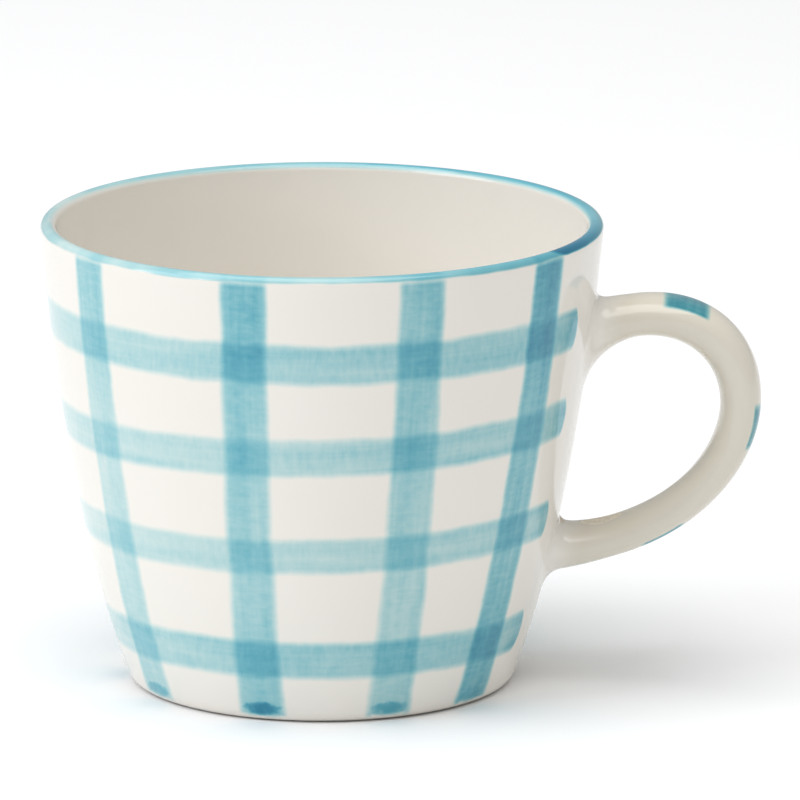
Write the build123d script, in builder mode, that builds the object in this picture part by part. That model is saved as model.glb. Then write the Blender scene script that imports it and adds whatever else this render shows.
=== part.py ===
"""Hand-painted stoneware mug, in millimetres.

The mug stands on z = 0 with the cup's axis on Z, and its handle points along +X.
The clay is a cup and a handle, joined by a fillet of fired slip round each root of the handle.
A thin coat of glass, the glaze, covers all of it but the foot ring that it stands on.
"""

from build123d import *

import os
from math import cos, radians, sin

# Driving dimensions: the glaze, and then the clay under it
glaze = 0.3  # thickness of the glaze coat
height = 83.8 - glaze
rim_radius = 50.0 - glaze
lip_thickness = 2.8 - 2 * glaze

# Outside of the cup: one long bulging wall, a rounded heel and a low foot ring
wall_bulge = (45.2, 31.75)  # control point of the wall's curve
wall_foot = (34.62, 2.3)  # where the wall turns into the heel
heel_drop = 1.75  # from the wall's foot to the heel's corner, along the wall
heel_foot = (32.9, 0.6)
foot_outer_radius = 32.3
foot_inner_radius = 29.0

# Inside of the cup: a wall that thickens downwards, a round corner and a flat floor
inner_bulge = (42.1, 34.0)
inner_wall_foot = (32.9, 11.5)
floor_radius = 22.5
floor_z = 5.8

# Underside, recessed within the foot ring
recess_radius = 27.0
recess_z = 2.0
glaze_line_z = 0.35  # the glaze is wiped off below this, so that the foot stays dry

# Handle: an ear-shaped loop of oval section, thick at its shoulder and at both roots
handle_width = 12.6  # across the loop, over the glaze
handle_sections = (  # share of the loop, and width and thickness over the glaze
    (0, 14.0, 9.8),
    (0.14, handle_width, 7.2),
    (0.32, handle_width, 7.8),
    (0.5, handle_width, 7.1),
    (0.84, handle_width, 6.5),
    (1, 13.6, 8.2),
)
slip_radius = 2.4  # fillet of slip round each root

# The cup's section is drawn opposite the handle, which keeps the revolved seam off the roots
section_plane = Plane(origin=(0, 0, 0), x_dir=(-1, 0, 0), z_dir=(0, 1, 0))

# Centreline of the loop: two curves that meet at its outermost point
upper_root = (44.5, 61.9)
upper_reach = (60.4, 71.8)
outermost = (74.8, 50.7)
rise, fall = 13.8, 10.3  # control points straight above and below the outermost point
lower_sweep = (64.6, 24.6)
lower_root = (38.5, 23.9)


def coated(point, facing, coat):
    """A point of the section moved out by the coat, where facing is its surface's direction."""
    return (point[0] + coat * cos(radians(facing)), point[1] + coat * sin(radians(facing)))


def cup_section(coat, hollow=True):
    """The cup's half-section with a coat all round it, or with hollow=False a solid plug of it."""
    lip_z = height - lip_thickness / 2
    lip_centre = (rim_radius - lip_thickness / 2, lip_z)
    lip_round = lip_thickness / 2 + coat
    with BuildSketch() as section:
        with BuildLine():
            wall = Bezier(
                coated((rim_radius, lip_z), 0, coat),
                coated(wall_bulge, -10, coat),
                coated(wall_foot, -20, coat),
            )
            heel_end = coated(heel_foot, -60, coat)
            heel = Bezier(wall @ 1, wall @ 1 + (wall % 1) * heel_drop, heel_end)
            Polyline(
                heel @ 1,
                coated((foot_outer_radius, 0), -45, coat),
                coated((foot_inner_radius, 0), -135, coat),
                coated((recess_radius, recess_z), -110, coat),
                coated((0, recess_z), -90, coat),
            )
            CenterArc(lip_centre, lip_round, 0, 90)
            if hollow:
                lip = CenterArc(lip_centre, lip_round, 90, 90)
                inner_wall = Bezier(
                    lip @ 1,
                    coated(inner_bulge, 170, coat),
                    coated(inner_wall_foot, 158, coat),
                )
                slope = inner_wall % 1
                corner_reach = ((inner_wall @ 1).Y - floor_z - coat) / -slope.Y
                floor_corner = inner_wall @ 1 + slope * corner_reach
                corner = Bezier(inner_wall @ 1, floor_corner, (floor_radius, floor_corner.Y))
                Polyline(
                    corner @ 1,
                    (0, floor_corner.Y),
                    coated((0, recess_z), -90, coat),
                )
            else:
                Polyline(
                    (lip_centre[0], height + coat),
                    (0, height + coat),
                    coated((0, recess_z), -90, coat),
                )
        make_face()
    return section.sketch


def handle_loop(coat=0.0):
    """The handle's loop, with its ends inside the cup's wall and a coat of this thickness."""
    skin = glaze - coat
    with BuildLine(Plane.XZ) as path:
        Bezier(upper_root, upper_reach, (outermost[0], outermost[1] + rise), outermost)
        Bezier(outermost, (outermost[0], outermost[1] - fall), lower_sweep, lower_root)
    with BuildPart() as loop:
        for place, width, thickness in handle_sections:
            with BuildSketch(Plane(path.line @ place, x_dir=(0, 1, 0), z_dir=path.line % place)):
                Ellipse(width / 2 - skin, thickness / 2 - skin)
        sweep(path=path.line, multisection=True)
    return loop.part


def fused_mug(coat):
    """Cup, handle and root fillets as one solid, with a coat of this thickness."""
    with BuildPart() as mug:
        with BuildSketch(section_plane):
            add(cup_section(coat, hollow=False))
        revolve(axis=Axis.Z)
        add(handle_loop(coat))
        fillet(mug.edges(Select.NEW), slip_radius - coat)
        with BuildSketch(section_plane):
            add(cup_section(coat, hollow=False))
            add(cup_section(coat), mode=Mode.SUBTRACT)
        revolve(axis=Axis.Z, mode=Mode.SUBTRACT)
    return mug.part


# The cup, one piece of clay: foot ring, floor and wall
with BuildPart() as cup_body:
    with BuildSketch(section_plane):
        add(cup_section(coat=0))
    revolve(axis=Axis.Z)

# The cup's outside as a solid, to trim the handle against
with BuildPart() as cup_plug:
    with BuildSketch(section_plane):
        add(cup_section(coat=0, hollow=False))
    revolve(axis=Axis.Z)

# The handle, cut at both ends to fit the wall
with BuildPart() as handle:
    add(handle_loop())
    add(cup_plug.part, mode=Mode.SUBTRACT)

# Slip smoothed round the two roots of the handle
with BuildPart() as slip:
    add(cup_plug.part)
    add(handle_loop())
    unsmoothed = slip.part
    fillet(slip.edges(Select.NEW), slip_radius)
    add(unsmoothed, mode=Mode.SUBTRACT)
lower_slip, upper_slip = slip.solids().sort_by(Axis.Z)

with BuildPart() as upper_slip_joint:
    add(upper_slip)

with BuildPart() as lower_slip_joint:
    add(lower_slip)

# The glaze, wiped off the foot ring, which leaves a separate disc of it under the floor
with BuildPart() as coat:
    add(fused_mug(glaze))
    with BuildSketch(Plane.XY.offset(glaze_line_z)):
        Circle(rim_radius)
    extrude(amount=-2 * glaze_line_z, mode=Mode.SUBTRACT)
    add(fused_mug(0), mode=Mode.SUBTRACT)
base_disc, main_coat = coat.solids().sort_by(SortBy.VOLUME)

with BuildPart() as glaze_coat:
    add(main_coat)

with BuildPart() as base_glaze:
    add(base_disc)

pieces = {
    "cup_body": cup_body,
    "handle": handle,
    "upper_slip_joint": upper_slip_joint,
    "lower_slip_joint": lower_slip_joint,
    "glaze_coat": glaze_coat,
    "base_glaze": base_glaze,
}

os.makedirs("parts", exist_ok=True)
for name, piece in pieces.items():
    piece.part.label = name
    export_step(piece.part, f"parts/{name}.step")
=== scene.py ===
"""A hand-painted stoneware mug: cream glaze over a check brushed in turquoise.

The clay of the cup, the handle and the two slip joints is the CAD model's own, in bare stoneware.
It shows only at the dry foot ring. Over it go three pieces of glaze: the coat of the cup, the coat
of the handle with its roots, and the disc under the floor.
"""

import math

import bmesh
import bpy
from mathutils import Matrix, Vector


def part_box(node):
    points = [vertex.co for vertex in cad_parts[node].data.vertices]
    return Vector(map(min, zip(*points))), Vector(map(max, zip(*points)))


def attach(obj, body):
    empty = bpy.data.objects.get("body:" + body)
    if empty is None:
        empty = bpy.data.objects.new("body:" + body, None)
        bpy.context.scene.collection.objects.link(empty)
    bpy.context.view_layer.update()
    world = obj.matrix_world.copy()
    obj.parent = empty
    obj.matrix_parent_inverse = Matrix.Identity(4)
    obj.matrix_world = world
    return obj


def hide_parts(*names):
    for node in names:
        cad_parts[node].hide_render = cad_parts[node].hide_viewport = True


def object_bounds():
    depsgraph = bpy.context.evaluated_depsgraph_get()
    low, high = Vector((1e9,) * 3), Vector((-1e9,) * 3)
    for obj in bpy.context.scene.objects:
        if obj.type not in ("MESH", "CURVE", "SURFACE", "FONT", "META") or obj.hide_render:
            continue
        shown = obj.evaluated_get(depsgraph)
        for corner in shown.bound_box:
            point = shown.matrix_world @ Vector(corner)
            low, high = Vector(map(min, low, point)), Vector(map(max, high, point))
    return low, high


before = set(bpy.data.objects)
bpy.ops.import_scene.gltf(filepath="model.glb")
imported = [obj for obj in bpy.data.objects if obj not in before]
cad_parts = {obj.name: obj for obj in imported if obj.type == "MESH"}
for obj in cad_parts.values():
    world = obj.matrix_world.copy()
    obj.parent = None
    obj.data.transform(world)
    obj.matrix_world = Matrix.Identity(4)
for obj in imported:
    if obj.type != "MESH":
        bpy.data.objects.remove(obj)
cad_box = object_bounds()
coat_low, coat_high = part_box("glaze_coat")
base_low, base_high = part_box("base_glaze")

bl_info = {
    "name": "Painted stoneware mug",
    "version": (1, 0, 0),
    "blender": (4, 5, 0),
    "location": "3D View > Sidebar > Mug",
    "description": "Builds the glaze, the brushwork and the studio of a hand-painted mug",
    "category": "Add Mesh",
}

MM = 0.001  # one millimetre in Blender's metres


# Properties


class MugShape(bpy.types.PropertyGroup):
    """Sizes of the glazed mug. Pairs are a radius from the cup's axis and a height."""

    rim_radius: bpy.props.FloatProperty(
        name="Rim radius", description="Outer radius at the lip", default=-coat_low.x, unit="LENGTH"
    )
    height: bpy.props.FloatProperty(
        name="Height", description="From the table to the lip", default=coat_high.z, unit="LENGTH"
    )
    lip: bpy.props.FloatProperty(
        name="Lip", description="Thickness of the rounded lip", default=2.8 * MM, unit="LENGTH"
    )
    glaze: bpy.props.FloatProperty(
        name="Glaze", description="Thickness of the glaze coat", default=0.3 * MM, unit="LENGTH"
    )
    wall_bulge: bpy.props.FloatVectorProperty(
        name="Wall bulge", description="Control point of the outer wall's curve",
        size=2, default=(45.5 * MM, 31.7 * MM), unit="LENGTH",
    )
    wall_foot: bpy.props.FloatVectorProperty(
        name="Wall foot", description="Where the outer wall turns into the heel",
        size=2, default=(34.9 * MM, 2.2 * MM), unit="LENGTH",
    )
    heel_corner: bpy.props.FloatVectorProperty(
        name="Heel corner", description="Control point of the heel's curve",
        size=2, default=(34.3 * MM, 0.55 * MM), unit="LENGTH",
    )
    heel_end: bpy.props.FloatVectorProperty(
        name="Heel end", description="The glaze line above the dry foot",
        size=2, default=(32.95 * MM, 0.15 * MM), unit="LENGTH",
    )
    inner_bulge: bpy.props.FloatVectorProperty(
        name="Inner bulge", description="Control point of the inner wall's curve",
        size=2, default=(41.8 * MM, 34.0 * MM), unit="LENGTH",
    )
    inner_foot: bpy.props.FloatVectorProperty(
        name="Inner foot", description="Where the inner wall turns into the floor's corner",
        size=2, default=(32.6 * MM, 11.6 * MM), unit="LENGTH",
    )
    floor_corner: bpy.props.FloatVectorProperty(
        name="Floor corner", description="Control point of the corner round the floor",
        size=2, default=(30.3 * MM, 6.1 * MM), unit="LENGTH",
    )
    floor_radius: bpy.props.FloatProperty(
        name="Floor radius", description="Flat part of the floor", default=22.5 * MM, unit="LENGTH"
    )
    wobble: bpy.props.FloatProperty(
        name="Wobble", description="How far the cup is out of round", default=0.1 * MM,
        unit="LENGTH",
    )


class HandleShape(bpy.types.PropertyGroup):
    """Sizes of the glazed handle. Pairs are a distance from the cup's axis and a height."""

    upper_root: bpy.props.FloatVectorProperty(
        name="Upper root", description="Centreline's start inside the wall",
        size=2, default=(44.5 * MM, 61.9 * MM), unit="LENGTH",
    )
    upper_reach: bpy.props.FloatVectorProperty(
        name="Upper reach", description="Control point over the upper run",
        size=2, default=(60.4 * MM, 71.8 * MM), unit="LENGTH",
    )
    outermost: bpy.props.FloatVectorProperty(
        name="Outermost", description="Centreline's outermost point",
        size=2, default=(74.8 * MM, 50.7 * MM), unit="LENGTH",
    )
    rise: bpy.props.FloatProperty(
        name="Rise", description="From the outermost point up to its control point",
        default=13.8 * MM, unit="LENGTH",
    )
    fall: bpy.props.FloatProperty(
        name="Fall", description="From the outermost point down to its control point",
        default=10.3 * MM, unit="LENGTH",
    )
    lower_sweep: bpy.props.FloatVectorProperty(
        name="Lower sweep", description="Control point under the lower run",
        size=2, default=(64.6 * MM, 24.6 * MM), unit="LENGTH",
    )
    lower_root: bpy.props.FloatVectorProperty(
        name="Lower root", description="Centreline's end inside the wall",
        size=2, default=(38.5 * MM, 23.9 * MM), unit="LENGTH",
    )
    stations: bpy.props.FloatVectorProperty(
        name="Stations", description="Shares of the loop where its section is given",
        size=7, default=(0, 0.14, 0.32, 0.5, 0.68, 0.84, 1), min=0, max=1,
    )
    widths: bpy.props.FloatVectorProperty(
        name="Widths", description="Width of the section at each station",
        size=7, default=[w * MM for w in (14.0, 12.6, 12.6, 12.6, 12.6, 12.6, 13.6)],
        unit="LENGTH",
    )
    thicknesses: bpy.props.FloatVectorProperty(
        name="Thicknesses", description="Thickness of the section at each station",
        size=7, default=[t * MM for t in (10.2, 7.2, 7.9, 7.1, 6.5, 6.55, 8.2)],
        unit="LENGTH",
    )


class MugPaint(bpy.types.PropertyGroup):
    """Colours and brushwork under the glaze, and a darker cream that paints the handle's shade."""

    cream: bpy.props.StringProperty(
        name="Cream", description="The unpainted glaze, as an sRGB hex value", default="EDE9E2"
    )
    # Painted shade: the handle's cream is darker, standing in for the shade it sits in, away from
    # the key light
    handle_shade_cream: bpy.props.StringProperty(
        name="Handle cream", description="The glaze where it lies thinner, over the handle",
        default="DFD9CC",
    )
    turquoise: bpy.props.StringProperty(
        name="Turquoise", description="What one full layer of paint lets through, as sRGB hex",
        default="82CADD",
    )
    clay: bpy.props.StringProperty(
        name="Clay", description="The bare fired stoneware, as sRGB hex", default="E6DDCD"
    )
    brush_width: bpy.props.FloatProperty(
        name="Brush", description="Width of an upright stroke", default=8.0 * MM, unit="LENGTH"
    )
    dash_places: bpy.props.FloatVectorProperty(
        name="Dashes", description="Shares of the handle's loop where a dash is painted",
        size=3, default=(0.229, 0.488, 0.753), min=0, max=1,
    )


class MugStudio(bpy.types.PropertyGroup):
    """Floor, lights and camera."""

    floor: bpy.props.StringProperty(
        name="Floor", description="The pale floor, as sRGB hex", default="FCFCFC"
    )
    floor_size: bpy.props.FloatProperty(
        name="Floor size", description="Side of the floor", default=12.0, unit="LENGTH"
    )
    air: bpy.props.FloatProperty(
        name="Air", description="Strength of the even light from all around", default=0.42
    )
    lens: bpy.props.FloatProperty(
        name="Lens", description="Focal length in millimetres", default=504.0
    )
    distance: bpy.props.FloatProperty(
        name="Distance", description="From the camera to the mug", default=2.0, unit="LENGTH"
    )
    elevation: bpy.props.FloatProperty(
        name="Elevation", description="How far the camera looks down",
        default=math.radians(13.1), subtype="ANGLE",
    )
    aim_above: bpy.props.FloatProperty(
        name="Aim above", description="From the middle of the mug up to the middle of the picture",
        default=8.55 * MM, unit="LENGTH",
    )


# Shapes


def bezier(points, share):
    """The point a share of the way along the Bezier curve with these control points."""
    points = [Vector(p) for p in points]
    while len(points) > 1:
        points = [a.lerp(b, share) for a, b in zip(points, points[1:])]
    return points[0]


def smooth_step(low, high, value):
    share = min(max((value - low) / (high - low), 0.0), 1.0)
    return share * share * (3 - 2 * share)


def wall_curve(shape):
    """The outer wall's control points, from the lip down to the heel."""
    return (shape.rim_radius, shape.height - shape.lip / 2), shape.wall_bulge, shape.wall_foot


def wobble(shape, angle, height):
    """How far the thrown wall stands out of round, by the angle about the axis and the height."""
    turn = 1.7 * height / shape.height
    thrown = 0.6 * math.cos(2 * angle + 0.7 + turn) + 0.4 * math.cos(3 * angle - 1.9 - 2 * turn)
    # The weight of the handle draws the rim out a little above it
    pull = smooth_step(0.4, 1, height / shape.height) * max(math.cos(angle), 0) ** 2
    return shape.wobble * (thrown + 3 * pull)


def wall_radius(shape, height):
    """The outer wall's radius at a height, by halving the stretch of curve that it lies in."""
    curve, low, high = wall_curve(shape), 0.0, 1.0
    for _ in range(24):
        middle = (low + high) / 2
        if bezier(curve, middle).y > height:
            low = middle
        else:
            high = middle
    return bezier(curve, low).x


def on_wall(shape, across, height):
    """The point of the outer wall at the handle's side, across from its middle plane."""
    radius = wall_radius(shape, height)
    radius *= 1 + wobble(shape, math.asin(across / radius), height) / shape.rim_radius
    return Vector((math.sqrt(radius**2 - across**2), across, height))


def wall_normal(shape, point):
    """The outer wall's normal at one of its points."""
    step = 0.2 * MM
    slope = (wall_radius(shape, point.z + step) - wall_radius(shape, point.z - step)) / (2 * step)
    outwards = Vector((point.x, point.y, 0)).normalized()
    return (outwards - Vector((0, 0, slope))).normalized()


def cup_profile(shape):
    """The glaze's surface in half-section, from the heel over the lip to the floor's middle."""
    lip_radius = shape.lip / 2
    lip_middle = Vector((shape.rim_radius - lip_radius, shape.height - lip_radius))
    heel = (shape.heel_end, shape.heel_corner, shape.wall_foot)
    wall = tuple(reversed(wall_curve(shape)))
    inner_wall = ((lip_middle.x - lip_radius, lip_middle.y), shape.inner_bulge, shape.inner_foot)
    corner = (shape.inner_foot, shape.floor_corner, (shape.floor_radius, shape.floor_corner[1]))
    profile = [bezier(heel, i / 8) for i in range(8)]
    profile += [bezier(wall, i / 60) for i in range(60)]
    for i in range(20):
        turn = math.pi * i / 20
        profile.append(lip_middle + lip_radius * Vector((math.cos(turn), math.sin(turn))))
    profile += [bezier(inner_wall, i / 48) for i in range(48)]
    profile += [bezier(corner, i / 16) for i in range(16)]
    profile += [Vector((shape.floor_radius * (1 - i / 8), shape.floor_corner[1])) for i in range(9)]
    return profile


def inset(profile, thickness):
    """The profile moved into the clay by a thickness, at right angles to itself."""
    moved = []
    for i, point in enumerate(profile):
        before, after = profile[max(i - 1, 0)], profile[min(i + 1, len(profile) - 1)]
        along = (after - before).normalized()
        moved.append(point + thickness * Vector((-along.y, along.x)))
    moved[-1].x = 0.0
    return moved


def new_piece(name, mesh):
    """A smooth-shaded object from a bmesh."""
    bmesh.ops.recalc_face_normals(mesh, faces=mesh.faces)
    data = bpy.data.meshes.new(name)
    mesh.to_mesh(data)
    mesh.free()
    data.shade_smooth()
    piece = bpy.data.objects.new(name, data)
    bpy.context.scene.collection.objects.link(piece)
    return piece


def lathe(name, shape, outer, inner, segments):
    """A closed shell of revolution between two profiles that both end on the axis."""
    mesh = bmesh.new()
    shells = []
    for profile in (outer, inner):
        rings = []
        for point in profile[:-1]:
            ring = []
            for i in range(segments):
                angle = 2 * math.pi * i / segments
                radius = point.x * (1 + wobble(shape, angle, point.y) / shape.rim_radius)
                place = (radius * math.cos(angle), radius * math.sin(angle), point.y)
                ring.append(mesh.verts.new(place))
            rings.append(ring)
        for ring, following in zip(rings, rings[1:]):
            bridge(mesh, ring, following)
        middle = mesh.verts.new((0, 0, profile[-1].y))
        for i in range(segments):
            mesh.faces.new((rings[-1][i], rings[-1][(i + 1) % segments], middle))
        shells.append(rings)
    bridge(mesh, shells[0][0], shells[1][0])
    return new_piece(name, mesh)


def bridge(mesh, ring, following):
    """Quads between two closed rings of as many vertices."""
    count = len(ring)
    for i in range(count):
        after = (i + 1) % count
        mesh.faces.new((ring[i], ring[after], following[after], following[i]))


def loop_line(handle):
    """The handle's centreline, as a function from a share of its length to place and direction."""
    reach = (handle.outermost[0], handle.outermost[1] + handle.rise)
    drop = (handle.outermost[0], handle.outermost[1] - handle.fall)
    upper = (handle.upper_root, handle.upper_reach, reach, handle.outermost)
    lower = (handle.outermost, drop, handle.lower_sweep, handle.lower_root)
    steps = 300
    points = [bezier(upper, i / steps) for i in range(steps)]
    points += [bezier(lower, i / steps) for i in range(steps + 1)]
    lengths = [0.0]
    for a, b in zip(points, points[1:]):
        lengths.append(lengths[-1] + (b - a).length)

    def at(share):
        target = share * lengths[-1]
        low, high = 0, len(points) - 1
        while high - low > 1:
            middle = (low + high) // 2
            low, high = (middle, high) if lengths[middle] <= target else (low, middle)
        part = (target - lengths[low]) / (lengths[high] - lengths[low])
        place = points[low].lerp(points[high], part)
        before = points[max(low - 1, 0)]
        after = points[min(high + 1, len(points) - 1)]
        along = (after - before).normalized()
        return Vector((place.x, 0, place.y)), Vector((along.x, 0, along.y))

    return at


def smooth_through(places, values, place):
    """A smooth curve through values at rising places, level wherever they turn, at one place."""
    lengths = [b - a for a, b in zip(places, places[1:])]
    climbs = [(b - a) / length for a, b, length in zip(values, values[1:], lengths)]
    slopes = [0.0] * len(places)
    for i, (before, after) in enumerate(zip(climbs, climbs[1:]), start=1):
        if before * after > 0:
            slopes[i] = 2 * before * after / (before + after)
    i = sum(1 for p in places[1:-1] if p <= place)
    length = lengths[i]
    part = (place - places[i]) / length
    rest = 1 - part
    return (
        rest**2 * ((1 + 2 * part) * values[i] + part * length * slopes[i])
        + part**2 * ((1 + 2 * rest) * values[i + 1] - rest * length * slopes[i + 1])
    )


def section_size(handle, share):
    """Half the width and half the thickness of the handle at a share of its loop."""
    width = smooth_through(handle.stations, handle.widths, share)
    thickness = smooth_through(handle.stations, handle.thicknesses, share)
    return width / 2, thickness / 2


def loop_surface(handle, at, share, turn):
    """A point of the handle's surface, by its share of the loop and turn about the centreline."""
    centre, along = at(share)
    outwards = Vector((-along.z, 0, along.x))
    half_width, half_thickness = section_size(handle, share)
    squareness = 0.86  # below 1 the oval's sides are a little fuller than an ellipse's
    cosine, sine = math.cos(turn), math.sin(turn)
    up = math.copysign(abs(cosine) ** squareness, cosine)
    across = math.copysign(abs(sine) ** squareness, sine)
    return centre + outwards * half_thickness * up + Vector((0, half_width * across, 0))


def halve(inside, outside, is_inside):
    """The value between inside and outside where is_inside changes."""
    for _ in range(24):
        middle = (inside + outside) / 2
        if is_inside(middle):
            inside = middle
        else:
            outside = middle
    return outside


# Rows of the handle's glaze under the cup's: mm past the landing, and depth in coats of glaze
HIDDEN_ROWS = ((1.3, 0.8), (1.0, 0.08), (0.5, 0.03))


def root_line(shape, handle, at, turn, end):
    """One line of a root: from inside the wall, over the fillet, to where the even handle starts.

    end is 0 at the upper root and 1 at the lower one. Gives the points and the last one's share.
    """
    away = 1 if end == 0 else -1

    def surface(share):
        return loop_surface(handle, at, share, turn)

    def in_wall(share):
        point = surface(share)
        return point.x < on_wall(shape, point.y, point.z).x

    corner_share = halve(end, end + away * 0.3, in_wall)
    corner = surface(corner_share)
    inner_side = (1 - math.cos(turn)) / 2  # 0 on the handle's outer face, 1 on its inner face
    # How far the fillet runs along the handle and over the wall, with more in the loop's armpit
    if end == 0:
        reach = (3.0 + 2.6 * inner_side) * MM
        land = (2.4 + 3.2 * inner_side) * MM
    else:
        reach = (3.0 + 0.4 * inner_side) * MM
        land = (2.4 + 1.2 * (1 - inner_side)) * MM
    start_share = halve(
        corner_share, corner_share + away * 0.3, lambda s: (surface(s) - corner).length < reach
    )
    start = surface(start_share)
    centre = at(corner_share)[0]
    spread = Vector((corner.y, corner.z - centre.z)).normalized()
    landing = on_wall(shape, corner.y + land * spread.x, corner.z + land * spread.y)
    normal = wall_normal(shape, landing)
    bend = corner - (corner - landing).dot(normal) * normal
    # Beyond the landing the glaze runs on just under the cup's, so that no edge shows
    hidden = []
    for past, depth in HIDDEN_ROWS:
        out = land + past * MM
        point = on_wall(shape, corner.y + out * spread.x, corner.z + out * spread.y)
        hidden.append(point - wall_normal(shape, point) * shape.glaze * depth)
    steps = 12
    fillet = [bezier((landing, bend, start), i / steps) for i in range(steps + 1)]
    return [*hidden, *fillet], start_share


def handle_grid(shape, handle):
    """Rows of points along the handle's glaze, one row for each turn about its centreline."""
    at = loop_line(handle)
    around, lengthways = 64, 120
    rows = []
    for i in range(around):
        turn = 2 * math.pi * i / around
        upper, first = root_line(shape, handle, at, turn, end=0)
        lower, last = root_line(shape, handle, at, turn, end=1)
        middle = [
            loop_surface(handle, at, first + (last - first) * j / lengthways, turn)
            for j in range(1, lengthways)
        ]
        rows.append(upper + middle + lower[::-1])
    return rows


# Materials


def linear(hex_colour):
    """An sRGB hex value as the linear colour with alpha that shaders take."""
    channels = [int(hex_colour[i : i + 2], 16) / 255 for i in (0, 2, 4)]
    return [c / 12.92 if c <= 0.04045 else ((c + 0.055) / 1.055) ** 2.4 for c in channels] + [1.0]


def add(tree, kind, inputs=None, output=0, **settings):
    """Adds a node, fills its inputs with values or sockets, and returns one of its outputs."""
    node = tree.nodes.new(kind)
    for name, value in settings.items():
        setattr(node, name, value)
    for name, value in (inputs or {}).items():
        if isinstance(value, bpy.types.NodeSocket):
            tree.links.new(value, node.inputs[name])
        else:
            node.inputs[name].default_value = value
    return node.outputs[output] if len(node.outputs) else node


def mix_colours(tree, share, first, second, blend="MIX"):
    """Blends two colours, given as values or sockets."""
    # The colour mix has its factor at input 0, its colours at 6 and 7, and its result at output 2
    inputs = {0: share, 6: first, 7: second}
    return add(tree, "ShaderNodeMix", inputs, output=2, data_type="RGBA", blend_type=blend)


def new_material(name):
    """An empty node material and its tree."""
    material = bpy.data.materials.new(name)
    material.use_nodes = True
    material.node_tree.nodes.clear()
    return material, material.node_tree


def place_in_mm(tree):
    """Sockets of the place on the mug, in millimetres: x, y, z, radius and angle in degrees.

    The angle is 0 at the front, 90 at the handle and 180 at the back.
    """
    place = add(tree, "ShaderNodeTexCoord", output="Object")
    place = add(
        tree, "ShaderNodeVectorMath", {0: place, "Scale": 1 / MM}, operation="SCALE"
    )
    split = add(tree, "ShaderNodeSeparateXYZ", {0: place}).node.outputs
    x, y, z = split["X"], split["Y"], split["Z"]
    level = add(tree, "ShaderNodeCombineXYZ", {0: x, 1: y})
    radius = add(tree, "ShaderNodeVectorMath", {0: level}, "Value", operation="LENGTH")
    front = add(tree, "ShaderNodeMath", {0: y, 1: -1.0}, operation="MULTIPLY")
    angle = add(tree, "ShaderNodeMath", {0: x, 1: front}, operation="ARCTAN2")
    angle = add(tree, "ShaderNodeMath", {0: angle, 1: math.degrees(1)}, operation="MULTIPLY")
    return place, x, y, z, radius, angle


# Hairs leave lanes along a stroke, wet paint ripples across it, and it dries mottled: each
# pattern's frequency across and along the stroke, per mm, and its strength
BRUSH_PATTERNS = ((1.6, 0.05, 0.08), (0.3, 0.03, 0.3), (0.3, 1.1, 0.13), (0.7, 0.7, 0.1))


def brush_marks(tree, across, along, half_width, seed, wander=0.3):
    """Density of one brush stroke, 0 off it and about 1 on it, from places in millimetres."""
    path = add(tree, "ShaderNodeCombineXYZ", {0: along, 2: seed})
    drift = add(
        tree, "ShaderNodeTexNoise", {"Vector": path, "Scale": 0.05, "Detail": 1.0}
    )
    drift = add(
        tree, "ShaderNodeMapRange",
        {0: drift, 1: 0.25, 2: 0.75, 3: -wander, 4: wander}, clamp=False,
    )
    offset = add(tree, "ShaderNodeMath", {0: across, 1: drift}, operation="ADD")
    spread = add(tree, "ShaderNodeMath", {0: offset}, operation="ABSOLUTE")
    # The wet edge of the stroke feathers by about half a millimetre
    place = add(tree, "ShaderNodeCombineXYZ", {0: across, 1: along, 2: seed})
    ragged = add(tree, "ShaderNodeTexNoise", {"Vector": place, "Scale": 0.16, "Detail": 2.0})
    ragged = add(tree, "ShaderNodeMath", {0: ragged, 1: 0.8, 2: -0.4}, operation="MULTIPLY_ADD")
    spread = add(tree, "ShaderNodeMath", {0: spread, 1: ragged}, operation="ADD")
    beyond = add(tree, "ShaderNodeMath", {0: spread, 1: half_width}, operation="SUBTRACT")
    mask = add(
        tree, "ShaderNodeMapRange", {0: beyond, 1: -0.95, 2: 0.75, 3: 1.0, 4: 0.0},
        interpolation_type="SMOOTHSTEP",
    )
    for across_scale, along_scale, strength in BRUSH_PATTERNS:
        fine = add(
            tree, "ShaderNodeVectorMath",
            {0: place, 1: (across_scale, along_scale, 3.7)}, operation="MULTIPLY",
        )
        marks = add(
            tree, "ShaderNodeTexNoise", {"Vector": fine, "Scale": 1.0, "Detail": 2.5}
        )
        marks = add(
            tree, "ShaderNodeMapRange",
            {0: marks, 1: 0.25, 2: 0.75, 3: 1 - strength, 4: 1 + strength}, clamp=False,
        )
        mask = add(tree, "ShaderNodeMath", {0: mask, 1: marks}, operation="MULTIPLY")
    return mask


HALF_WAY = 42.0  # height in mm where an upright stroke's middle is given
# Upright strokes: where each one's sector starts and its middle, in degrees from the front, its
# lean in degrees per mm of height, its load of paint and the load of the dab at its foot
UPRIGHTS = (
    (-180.0, -163.0, 0.02, 0.75, 0.9),
    (-145.0, -127.0, -0.015, 0.86, 0.5),
    (-109.0, -91.5, 0.01, 0.72, 1.2),
    (-73.0, -55.4, 0.022, 0.58, 0.7),
    (-36.0, -16.3, 0.02, 0.82, 1.6),
    (2.0, 20.8, 0.012, 0.76, 0.9),
    (36.0, 51.9, 0.049, 1.28, 0.25),
    (89.0, 126.0, -0.02, 0.8, 1.5),
    (143.0, 161.0, 0.015, 0.9, 0.6),
)
HANDLE_ANGLE = 90.0  # degrees from the front
BAND_START = 22.0  # degrees from the handle, to each side of it
# Level bands: where each one's sector starts and its middle, in mm of height, how far it rises
# towards the handle, its half width in mm and its load of paint
BANDS = (
    (0.0, 12.3, 0.25, 3.45, 0.72),
    (22.3, 32.3, 0.7, 3.15, 0.54),
    (41.6, 50.9, 1.25, 3.3, 0.58),
    (59.5, 68.1, 0.1, 3.5, 0.66),
)


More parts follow.
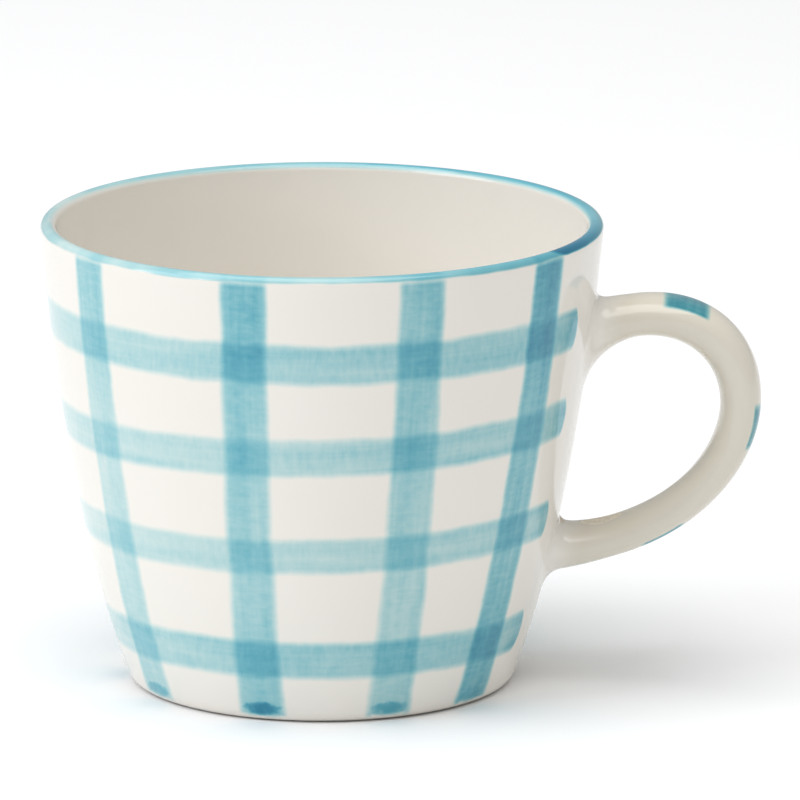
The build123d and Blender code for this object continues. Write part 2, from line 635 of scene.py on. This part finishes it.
def sector_values(tree, place, rows, low, high, limits):
    """Sockets of four values that change from sector to sector along a range of places.

    Each row is a sector's start and its values, and the limits are each value's lowest and highest.
    A ramp holds values from 0 to 1, so they go in as shares of their limits and come out in full.
    """
    share = add(tree, "ShaderNodeMapRange", {0: place, 1: low, 2: high})
    ramp = add(tree, "ShaderNodeValToRGB", {"Fac": share}).node
    ramp.color_ramp.interpolation = "CONSTANT"
    elements = ramp.color_ramp.elements
    elements.remove(elements[1])
    for i, (start, *values) in enumerate(rows):
        element = elements.new((start - low) / (high - low)) if i else elements[0]
        element.color = [(v - a) / (b - a) for v, (a, b) in zip(values, limits)]
    split = add(tree, "ShaderNodeSeparateXYZ", {0: ramp.outputs["Color"]}).node.outputs
    return [
        add(tree, "ShaderNodeMath", {0: stored, 1: b - a, 2: a}, operation="MULTIPLY_ADD")
        for stored, (a, b) in zip((*split, ramp.outputs["Alpha"]), limits)
    ]


def upright_density(tree, place, z, radius, angle, half_width):
    """Paint of the strokes that run from the lip to the foot, with a dab where each one ends."""
    limits = ((-180, 180), (-0.1, 0.1), (0, 2), (0, 2))
    middle, lean, amount, dab_load = sector_values(tree, angle, UPRIGHTS, -180, 180, limits)
    level = add(tree, "ShaderNodeMath", {0: z, 1: HALF_WAY}, operation="SUBTRACT")
    centre = add(tree, "ShaderNodeMath", {0: level, 1: lean, 2: middle}, operation="MULTIPLY_ADD")
    turn = add(tree, "ShaderNodeMath", {0: angle, 1: centre}, operation="SUBTRACT")
    arc = add(tree, "ShaderNodeMath", {0: turn, 1: math.radians(1)}, operation="MULTIPLY")
    across = add(tree, "ShaderNodeMath", {0: arc, 1: radius}, operation="MULTIPLY")
    stroke = brush_marks(tree, across, z, half_width, seed=middle, wander=0.25)
    # A loaded brush at the lip, running dry in the middle, pressed down again at the foot
    driest, to_lip = 30, 54
    load = add(
        tree, "ShaderNodeMath", {0: z, 1: 1 / to_lip, 2: -driest / to_lip},
        operation="MULTIPLY_ADD",
    )
    load = add(tree, "ShaderNodeMath", {0: load, 1: load}, operation="MULTIPLY")
    load = add(tree, "ShaderNodeMath", {0: load, 1: 0.62, 2: 0.73}, operation="MULTIPLY_ADD")
    # Strokes stop just above the heel, and thin out under the line round the lip
    broken = add(tree, "ShaderNodeTexNoise", {"Vector": place, "Scale": 0.6, "Detail": 3.0})
    foot = add(tree, "ShaderNodeMath", {0: broken, 1: 1.6, 2: z}, operation="MULTIPLY_ADD")
    foot = add(
        tree, "ShaderNodeMapRange", {0: foot, 1: 1.5, 2: 2.7}, interpolation_type="SMOOTHSTEP"
    )
    under_rim = add(tree, "ShaderNodeMapRange", {0: z, 1: 82.0, 2: 82.9, 3: 1.0, 4: 0.15})
    for factor in (foot, under_rim, amount, stroke):
        load = add(tree, "ShaderNodeMath", {0: load, 1: factor}, operation="MULTIPLY")
    # The dab is a lens of paint left where the brush lifts
    dab_height, dab_half_width, dab_half_height = 2.5, 3.7, 1.45
    sideways = add(
        tree, "ShaderNodeMath", {0: across, 1: 1 / dab_half_width}, operation="MULTIPLY"
    )
    sideways = add(tree, "ShaderNodeMath", {0: sideways, 1: sideways}, operation="MULTIPLY")
    upwards = add(
        tree, "ShaderNodeMath",
        {0: z, 1: 1 / dab_half_height, 2: -dab_height / dab_half_height},
        operation="MULTIPLY_ADD",
    )
    lens = add(
        tree, "ShaderNodeMath", {0: upwards, 1: upwards, 2: sideways}, operation="MULTIPLY_ADD"
    )
    lens = add(tree, "ShaderNodeMath", {0: broken, 1: 1.6, 2: lens}, operation="MULTIPLY_ADD")
    dab = add(
        tree, "ShaderNodeMapRange", {0: lens, 1: 0.9, 2: 1.95, 3: 1.0, 4: 0.0},
        interpolation_type="SMOOTHSTEP",
    )
    return add(
        tree, "ShaderNodeMath", {0: dab, 1: dab_load, 2: load}, operation="MULTIPLY_ADD"
    )


def band_density(tree, z, radius, angle):
    """Paint of the level bands, which start beside the handle and run dry towards the far side."""
    limits = ((0, 84), (0, 2), (0, 10), (0, 1))
    height, tilt, half_width, amount = sector_values(tree, z, BANDS, 0, 84, limits)
    turn = add(tree, "ShaderNodeMath", {0: angle, 1: math.radians(1)}, operation="MULTIPLY")
    sway = add(tree, "ShaderNodeMath", {0: turn}, operation="SINE")
    along = add(tree, "ShaderNodeMath", {0: turn, 1: radius}, operation="MULTIPLY")
    centre = add(
        tree, "ShaderNodeMath", {0: sway, 1: tilt, 2: height}, operation="MULTIPLY_ADD"
    )
    across = add(tree, "ShaderNodeMath", {0: z, 1: centre}, operation="SUBTRACT")
    stroke = brush_marks(tree, across, along, half_width, seed=height)
    from_handle = add(tree, "ShaderNodeMath", {0: angle, 1: HANDLE_ANGLE}, operation="SUBTRACT")
    from_handle = add(
        tree, "ShaderNodeMath", {0: from_handle, 1: 180.0, 2: -180.0}, operation="WRAP"
    )
    from_handle = add(tree, "ShaderNodeMath", {0: from_handle}, operation="ABSOLUTE")
    dryness = add(
        tree, "ShaderNodeMapRange", {0: from_handle, 1: 30.0, 2: 165.0, 3: 1.2, 4: 0.58}
    )
    past = add(tree, "ShaderNodeMath", {0: from_handle, 1: BAND_START}, operation="SUBTRACT")
    past = add(tree, "ShaderNodeMath", {0: past, 1: math.radians(1)}, operation="MULTIPLY")
    past = add(tree, "ShaderNodeMath", {0: past, 1: radius}, operation="MULTIPLY")
    # The brush sets down with a rounded end, which holds more paint
    bow = add(tree, "ShaderNodeMath", {0: across, 1: across}, operation="MULTIPLY")
    inside = add(tree, "ShaderNodeMath", {0: bow, 1: -0.09, 2: past}, operation="MULTIPLY_ADD")
    end = add(
        tree, "ShaderNodeMapRange", {0: inside, 1: -0.5, 2: 0.4}, interpolation_type="SMOOTHSTEP"
    )
    pool = add(
        tree, "ShaderNodeMapRange", {0: inside, 1: 1.0, 2: 6.0, 3: 0.7, 4: 0.0},
        interpolation_type="SMOOTHSTEP",
    )
    wet = add(tree, "ShaderNodeMath", {0: dryness, 1: pool}, operation="ADD")
    for factor in (amount, stroke, end):
        wet = add(tree, "ShaderNodeMath", {0: wet, 1: factor}, operation="MULTIPLY")
    return wet


def rim_density(tree, place, z, radius, angle):
    """Paint of the line round the lip, which laps over itself beside the handle."""
    uneven = add(tree, "ShaderNodeTexNoise", {"Vector": place, "Scale": 0.09, "Detail": 2.0})
    height = add(tree, "ShaderNodeMath", {0: uneven, 1: 0.7, 2: z}, operation="MULTIPLY_ADD")
    bare_below, full_above = 82.95, 83.45
    line = add(
        tree, "ShaderNodeMapRange", {0: height, 1: bare_below, 2: full_above},
        interpolation_type="SMOOTHSTEP",
    )
    # The paint lies on the lip's shoulder, and reaches further over the top at the back
    turn = add(tree, "ShaderNodeMath", {0: angle, 1: math.radians(1)}, operation="MULTIPLY")
    front = add(tree, "ShaderNodeMath", {0: turn}, operation="COSINE")
    side = add(tree, "ShaderNodeMath", {0: turn}, operation="SINE")
    reach = add(tree, "ShaderNodeMath", {0: uneven, 1: -0.5, 2: radius}, operation="MULTIPLY_ADD")
    reach = add(tree, "ShaderNodeMath", {0: front, 1: -0.27, 2: reach}, operation="MULTIPLY_ADD")
    bare_within, full_beyond = 47.1, 48.1
    over = add(
        tree, "ShaderNodeMapRange", {0: reach, 1: bare_within, 2: full_beyond},
        interpolation_type="SMOOTHSTEP",
    )
    line = add(tree, "ShaderNodeMath", {0: line, 1: over}, operation="MULTIPLY")
    load = add(tree, "ShaderNodeMapRange", {0: uneven, 1: 0.3, 2: 0.7, 3: 0.68, 4: 1.08})
    load = add(tree, "ShaderNodeMath", {0: side, 1: 0.45, 2: load}, operation="MULTIPLY_ADD")
    load = add(tree, "ShaderNodeMath", {0: front, 1: -0.15, 2: load}, operation="MULTIPLY_ADD")
    # The second lap starts on a slant, and runs out past the handle
    slant = add(tree, "ShaderNodeMath", {0: z, 1: 3.0, 2: angle}, operation="MULTIPLY_ADD")
    lap_start = add(tree, "ShaderNodeMapRange", {0: slant, 1: 306.5, 2: 308.5})
    lap_end = add(
        tree, "ShaderNodeMapRange", {0: angle, 1: 56.0, 2: 96.0, 3: 1.0, 4: 0.0},
        interpolation_type="SMOOTHSTEP",
    )
    lap = add(tree, "ShaderNodeMath", {0: lap_start, 1: lap_end}, operation="MULTIPLY")
    load = add(tree, "ShaderNodeMath", {0: lap, 1: 1.9, 2: load}, operation="MULTIPLY_ADD")
    return add(tree, "ShaderNodeMath", {0: line, 1: load}, operation="MULTIPLY")


def cream_ground(tree, cream, place):
    """The unpainted glaze, a little warmer in clouds."""
    cloud = add(tree, "ShaderNodeTexNoise", {"Vector": place, "Scale": 0.04, "Detail": 2.0})
    cream = linear(cream)
    warm = [cream[0] * 0.985, cream[1] * 0.975, cream[2] * 0.94, 1.0]
    return mix_colours(tree, cloud, cream, warm)


def under_paint(tree, ground, turquoise, density):
    """The ground seen through the paint, where every layer filters the light again."""
    film = add(
        tree, "ShaderNodeGamma", {"Color": linear(turquoise), "Gamma": density}
    )
    return mix_colours(tree, 1.0, ground, film, "MULTIPLY")


def finish_glaze(tree, place, colour):
    """Stoneware glaze, dipped and fired glossy: wet shine over a faintly rippled coat."""
    ripple = add(tree, "ShaderNodeTexNoise", {"Vector": place, "Scale": 0.12, "Detail": 1.0})
    bump = add(
        tree, "ShaderNodeBump", {"Strength": 0.35, "Distance": 0.25 * MM, "Height": ripple}
    )
    rough = add(
        tree, "ShaderNodeMapRange", {0: ripple, 1: 0.3, 2: 0.7, 3: 0.07, 4: 0.12}
    )
    shader = add(
        tree, "ShaderNodeBsdfPrincipled",
        {"Base Color": colour, "Roughness": rough, "IOR": 1.52, "Normal": bump},
    )
    add(tree, "ShaderNodeOutputMaterial", {"Surface": shader})


def painted_glaze(paint):
    """Glossy glaze over brushed underglaze paint: a soft-edged check, streaky from the brush."""
    material, tree = new_material("painted_stoneware_glaze")
    place, _, _, z, radius, angle = place_in_mm(tree)
    half_width = paint.brush_width / MM / 2
    uprights = upright_density(tree, place, z, radius, angle, half_width)
    bands = band_density(tree, z, radius, angle)
    outside = add(tree, "ShaderNodeMath", {0: uprights, 1: bands}, operation="ADD")
    facing = add(tree, "ShaderNodeNewGeometry", output="Normal")
    level = add(tree, "ShaderNodeVectorMath", {0: place, 1: (1, 1, 0)}, operation="MULTIPLY")
    facing = add(
        tree, "ShaderNodeVectorMath", {0: facing, 1: level}, "Value", operation="DOT_PRODUCT"
    )
    # Facing is close to the radius on the walls and close to 0 on the flat floor, in mm
    floor_limit = 3.0
    is_outer = add(
        tree, "ShaderNodeMath", {0: facing, 1: floor_limit}, operation="GREATER_THAN"
    )
    outside = add(tree, "ShaderNodeMath", {0: outside, 1: is_outer}, operation="MULTIPLY")
    rim = rim_density(tree, place, z, radius, angle)
    density = add(tree, "ShaderNodeMath", {0: outside, 1: rim}, operation="ADD")
    ground = cream_ground(tree, paint.cream, place)
    finish_glaze(tree, place, under_paint(tree, ground, paint.turquoise, density))
    return material


def handle_glaze_material(paint, shape, handle):
    """The same glaze, with short dashes of paint across the handle's outer face, over a darker
    cream that paints in the handle's shade.
    """
    material, tree = new_material("dashed_stoneware_glaze")
    place, _, y, z, radius, _ = place_in_mm(tree)
    at = loop_line(handle)
    # Half a dash's length along the handle, and where it thins out towards the sides, in mm
    dash_half_length, full_within, bare_beyond = 3.9, 4.7, 5.4
    load = 1.7
    total = 0.0
    for i, share in enumerate(paint.dash_places):
        centre, along = at(share)
        outwards = Vector((-along.z, 0, along.x))
        from_centre = add(
            tree, "ShaderNodeVectorMath", {0: place, 1: centre / MM}, operation="SUBTRACT"
        )
        lengthways = add(
            tree, "ShaderNodeVectorMath", {0: from_centre, 1: along}, "Value",
            operation="DOT_PRODUCT",
        )
        depth = add(
            tree, "ShaderNodeVectorMath", {0: from_centre, 1: outwards}, "Value",
            operation="DOT_PRODUCT",
        )
        stroke = brush_marks(tree, lengthways, y, dash_half_length, seed=5.0 + 9.0 * i)
        reach = add(tree, "ShaderNodeMath", {0: y}, operation="ABSOLUTE")
        sides = add(
            tree, "ShaderNodeMapRange",
            {0: reach, 1: full_within, 2: bare_beyond, 3: load, 4: 0.0},
            interpolation_type="SMOOTHSTEP",
        )
        face = add(tree, "ShaderNodeMath", {0: depth, 1: 0.0}, operation="GREATER_THAN")
        paint_here = add(tree, "ShaderNodeMath", {0: stroke, 1: sides}, operation="MULTIPLY")
        paint_here = add(tree, "ShaderNodeMath", {0: paint_here, 1: face}, operation="MULTIPLY")
        total = add(tree, "ShaderNodeMath", {0: paint_here, 1: total}, operation="ADD")
    # At the roots the handle's darker cream, which is painted shade, melts into the cup's. The wall
    # is taken as straight there
    low, high = handle.lower_root[1], handle.upper_root[1]
    low_radius, high_radius = wall_radius(shape, low), wall_radius(shape, high)
    slope = (high_radius - low_radius) / (high - low)
    start = (low_radius - slope * low) / MM
    melt_from, melt_to = 0.8, 6.0
    past = add(
        tree, "ShaderNodeMath", {0: z, 1: -slope, 2: radius}, operation="MULTIPLY_ADD"
    )
    handle_shade_share = add(
        tree, "ShaderNodeMapRange",
        {0: past, 1: start + melt_from, 2: start + melt_to},
        interpolation_type="SMOOTHSTEP",
    )
    ground = mix_colours(
        tree, handle_shade_share, cream_ground(tree, paint.cream, place),
        cream_ground(tree, paint.handle_shade_cream, place),
    )
    finish_glaze(tree, place, under_paint(tree, ground, paint.turquoise, total))
    return material


def plain_glaze(paint):
    """The same glaze without paint, under the mug."""
    material, tree = new_material("plain_stoneware_glaze")
    place = place_in_mm(tree)[0]
    finish_glaze(tree, place, cream_ground(tree, paint.cream, place))
    return material


def bare_stoneware(paint):
    """Fired stoneware, sponged and unglazed: a dry matt ring with fine sandy grain and specks."""
    material, tree = new_material("bare_stoneware")
    place = place_in_mm(tree)[0]
    # Grog grains are about 0.2 mm, drawn at 0.5 mm so that they show
    grain = add(tree, "ShaderNodeTexNoise", {"Vector": place, "Scale": 2.0, "Detail": 4.0})
    clay = linear(paint.clay)
    dark = [c * 0.72 for c in clay[:3]] + [1.0]
    ramp = add(tree, "ShaderNodeValToRGB", {"Fac": grain})
    ramp.node.color_ramp.elements[0].position = 0.3
    ramp.node.color_ramp.elements[0].color = dark
    ramp.node.color_ramp.elements[1].position = 0.52
    ramp.node.color_ramp.elements[1].color = clay
    bump = add(
        tree, "ShaderNodeBump", {"Strength": 0.5, "Distance": 0.1 * MM, "Height": grain}
    )
    shader = add(
        tree, "ShaderNodeBsdfPrincipled",
        {"Base Color": ramp, "Roughness": 0.85, "IOR": 1.5, "Normal": bump},
    )
    add(tree, "ShaderNodeOutputMaterial", {"Surface": shader})
    return material


# Operators


class MUG_OT_clay(bpy.types.Operator):
    """Finish the cup, the handle and the slip joints in bare stoneware"""

    bl_idname = "mug.clay"
    bl_label = "Clay"

    def execute(self, context):
        clay = bare_stoneware(context.scene.mug_paint)
        for name in ("cup_body", "handle", "upper_slip_joint", "lower_slip_joint"):
            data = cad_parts[name].data
            data.materials.clear()
            data.materials.append(clay)
        return {"FINISHED"}


class MUG_OT_cup_glaze(bpy.types.Operator):
    """Coat the cup in painted glaze, from the heel over the lip to the floor"""

    bl_idname = "mug.cup_glaze"
    bl_label = "Cup glaze"

    def execute(self, context):
        shape = context.scene.mug_shape
        outer = cup_profile(shape)
        inner = inset(outer, shape.glaze)
        piece = lathe("cup_glaze", shape, outer, inner[:1] + inner[1:-1:2] + inner[-1:], 240)
        piece.data.materials.append(painted_glaze(context.scene.mug_paint))
        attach(piece, "root")
        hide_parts("glaze_coat")
        return {"FINISHED"}


class MUG_OT_handle_glaze(bpy.types.Operator):
    """Coat the handle in glaze, with a fillet into the cup's coat at each root"""

    bl_idname = "mug.handle_glaze"
    bl_label = "Handle glaze"

    def execute(self, context):
        shape, handle = context.scene.mug_shape, context.scene.mug_handle
        rows = handle_grid(shape, handle)
        around, steps = len(rows), len(rows[0])
        mesh = bmesh.new()
        outer = [[mesh.verts.new(rows[i][j]) for i in range(around)] for j in range(steps)]
        for ring, following in zip(outer, outer[1:]):
            bridge(mesh, ring, following)
        mesh.normal_update()
        inner = []
        for ring in outer:
            middle = sum((v.co for v in ring), Vector()) / around
            copies = []
            for vertex in ring:
                normal = vertex.normal
                if normal.dot(vertex.co - middle) < 0:
                    normal = -normal
                copies.append(mesh.verts.new(vertex.co - normal * shape.glaze))
            inner.append(copies)
        for ring, following in zip(inner, inner[1:]):
            bridge(mesh, ring, following)
        bridge(mesh, outer[0], inner[0])
        bridge(mesh, outer[-1], inner[-1])
        piece = new_piece("handle_glaze", mesh)
        piece.data.materials.append(handle_glaze_material(context.scene.mug_paint, shape, handle))
        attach(piece, "root")
        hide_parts("glaze_coat")
        return {"FINISHED"}


class MUG_OT_base_glaze(bpy.types.Operator):
    """Lay the disc of plain glaze under the floor, inside the dry foot ring"""

    bl_idname = "mug.base_glaze"
    bl_label = "Base glaze"

    def execute(self, context):
        shape = context.scene.mug_shape
        edge, thickness = base_high.x, shape.glaze
        top, bottom = base_high.z, base_high.z - thickness
        # The glaze climbs off the foot ring's inner slope and rounds into the flat recess
        glaze_line, foot_of_slope, flat_from = 0.42 * MM, 1.75 * MM, 3.6 * MM
        slope = Vector((edge - glaze_line, base_low.z))
        bend = Vector((edge - foot_of_slope, bottom))
        flat = Vector((edge - flat_from, bottom))
        under = [bezier((slope, bend, flat), i / 12) for i in range(13)]
        under += [Vector((flat.x * (1 - i / 6), bottom)) for i in range(1, 7)]
        clay_slope = 1.65 * MM
        over = [Vector((edge, base_low.z)), Vector((edge - clay_slope, top)), Vector((0, top))]
        piece = lathe("base_glaze_disc", shape, under, over, 160)
        piece.data.materials.append(plain_glaze(context.scene.mug_paint))
        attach(piece, "root")
        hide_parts("base_glaze")
        return {"FINISHED"}


def add_light(name, place, target, size, power, colour):
    """A rectangular softbox at a place, facing a target."""
    data = bpy.data.lights.new(name, "AREA")
    data.shape = "RECTANGLE"
    data.size, data.size_y = size
    data.energy = power
    data.color = linear(colour)[:3]
    light = bpy.data.objects.new(name, data)
    light.location = place
    light.visible_camera = False
    light.rotation_euler = (Vector(target) - Vector(place)).to_track_quat("-Z", "Y").to_euler()
    bpy.context.scene.collection.objects.link(light)


# Softboxes: name, place and size in metres, power in watts and colour
LIGHTS = (
    ("key_softbox", (-1.35, -0.6, 0.95), (1.1, 1.1), 11.6, "F2F6FF"),
    ("top_softbox", (-0.1, -0.2, 1.8), (2.0, 1.6), 25.5, "FFFFFF"),
)


class MUG_OT_studio(bpy.types.Operator):
    """Set up the pale floor, the soft studio light and the camera"""

    bl_idname = "mug.studio"
    bl_label = "Studio"

    def execute(self, context):
        scene, studio = context.scene, context.scene.mug_studio
        mesh = bmesh.new()
        half = studio.floor_size / 2
        corners = ((-half, -half), (half, -half), (half, half), (-half, half))
        mesh.faces.new([mesh.verts.new((x, y, 0)) for x, y in corners])
        floor = new_piece("studio_floor", mesh)
        material, tree = new_material("pale_floor")
        shader = add(
            tree, "ShaderNodeBsdfPrincipled",
            {"Base Color": linear(studio.floor), "Roughness": 0.9, "Specular IOR Level": 0.1},
        )
        add(tree, "ShaderNodeOutputMaterial", {"Surface": shader})
        floor.data.materials.append(material)

        world = bpy.data.worlds.new("studio_air")
        world.use_nodes = True
        air = world.node_tree.nodes["Background"]
        air.inputs["Color"].default_value = linear("FFFFFF")
        air.inputs["Strength"].default_value = studio.air
        scene.world = world
        middle = (cad_box[0] + cad_box[1]) / 2
        for name, place, size, power, colour in LIGHTS:
            add_light(name, place, middle, size, power, colour)

        back = Vector((0, -math.cos(studio.elevation), math.sin(studio.elevation)))
        upwards = Vector((0, math.sin(studio.elevation), math.cos(studio.elevation)))
        data = bpy.data.cameras.new("studio_camera")
        data.lens = studio.lens
        data.clip_end = 10 * studio.distance
        camera = bpy.data.objects.new("studio_camera", data)
        camera.location = middle + back * studio.distance + upwards * studio.aim_above
        camera.rotation_euler = (-back).to_track_quat("-Z", "Y").to_euler()
        scene.collection.objects.link(camera)
        scene.camera = camera
        scene.view_settings.view_transform = "Standard"
        return {"FINISHED"}


class MUG_PT_panel(bpy.types.Panel):
    """Lists the steps that build the mug"""

    bl_idname = "MUG_PT_panel"
    bl_label = "Painted mug"
    bl_space_type = "VIEW_3D"
    bl_region_type = "UI"
    bl_category = "Mug"

    def draw(self, context):
        for step in STEPS:
            self.layout.operator(step.bl_idname)


STEPS = (
    MUG_OT_clay,
    MUG_OT_cup_glaze,
    MUG_OT_handle_glaze,
    MUG_OT_base_glaze,
    MUG_OT_studio,
)
GROUPS = {
    "mug_shape": MugShape,
    "mug_handle": HandleShape,
    "mug_paint": MugPaint,
    "mug_studio": MugStudio,
}
CLASSES = (*GROUPS.values(), *STEPS, MUG_PT_panel)


def register():
    for cls in CLASSES:
        bpy.utils.register_class(cls)
    for name, group in GROUPS.items():
        setattr(bpy.types.Scene, name, bpy.props.PointerProperty(type=group))


def unregister():
    for name in GROUPS:
        delattr(bpy.types.Scene, name)
    for cls in reversed(CLASSES):
        bpy.utils.unregister_class(cls)


def main():
    register()
    bpy.ops.mug.clay()
    bpy.ops.mug.cup_glaze()
    bpy.ops.mug.handle_glaze()
    bpy.ops.mug.base_glaze()
    bpy.ops.mug.studio()


if __name__ == "__main__":
    main()
